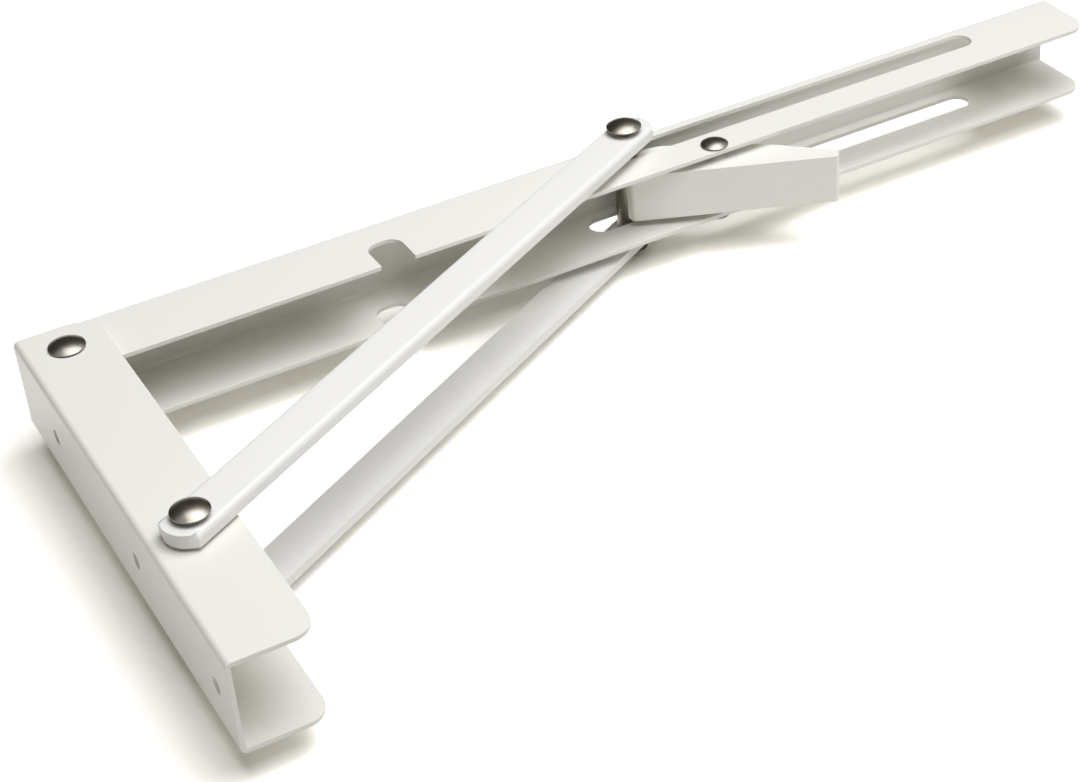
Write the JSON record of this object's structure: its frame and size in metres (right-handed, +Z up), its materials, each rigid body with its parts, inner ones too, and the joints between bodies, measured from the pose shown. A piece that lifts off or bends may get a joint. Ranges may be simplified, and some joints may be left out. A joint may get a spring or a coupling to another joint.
{
  "type": "folding shelf bracket",
  "caption": "White folding shelf bracket: a channel arm that folds down over its wall channel on twin braces, locked by a plastic release lever.",
  "frame": {"origin": "the corner where the wall's face meets the underside of the shelf, at mid-width", "axes": "+X out from the wall along the arm, +Z up, Y across the bracket; drawn opened out and latched"},
  "size_m": [0.3805, 0.051, 0.1725],
  "materials": {
    "channel_coat": "semi-gloss warm white powder coat",
    "brace_coat": "semi-gloss white powder coat",
    "rivet_nickel": "dark nickel plate, polished",
    "sleeve_steel": "dark plated steel",
    "lever_plastic": "smooth creamy white moulding",
    "spring_steel": "bright spring wire"
  },
  "bodies": {
    "wall": {"wall_channel": "channel_coat", "arm_pivot_rivet": "rivet_nickel", "brace_pivot_rivet": "rivet_nickel", "brace_pivot_washer_near": "sleeve_steel", "brace_pivot_washer_far": "sleeve_steel"},
    "arm": {"arm_channel": "channel_coat", "arm_pivot_sleeve": "sleeve_steel", "lever_pivot_rivet": "rivet_nickel", "lever_spring": "spring_steel"},
    "braces": {"brace_near": "brace_coat", "brace_far": "brace_coat", "slider_rivet_head_near": "rivet_nickel", "slider_rivet_head_far": "rivet_nickel"},
    "slider": {"slider_sleeve": "sleeve_steel", "slider_rivet_shank": "rivet_nickel"},
    "lever": {"release_lever": "lever_plastic"}
  },
  "joints": [
    {"name": "arm_fold", "type": "hinge", "parent": "wall", "child": "arm", "pos_m": [0.013, 0, -0.0165], "axis": [0, 1, 0], "range_deg": [0, 90]},
    {"name": "brace_swing", "type": "hinge", "parent": "wall", "child": "braces", "pos_m": [0.013, 0, -0.1195], "axis": [0, 1, 0], "range_deg": [0, 117.96]},
    {"name": "slider_travel", "type": "slide", "parent": "arm", "child": "slider", "axis": [1, 0, 0], "range_m": [0, 0.13224]},
    {"name": "lever_press", "type": "hinge", "parent": "arm", "child": "lever", "pos_m": [0.23199, 0, -0.0215], "axis": [0, -1, 0], "range_deg": [0, 30], "stiffness_Nm_per_rad": 0.08, "springref_deg": -22.92, "deforming": ["lever_spring"]}
  ],
  "couplings": [
    {"joint": "brace_swing", "follows": "arm_fold", "ratio": 1.3101},
    {"joint": "slider_travel", "follows": "arm_fold", "m_per_rad": 0.084157}
  ]
}
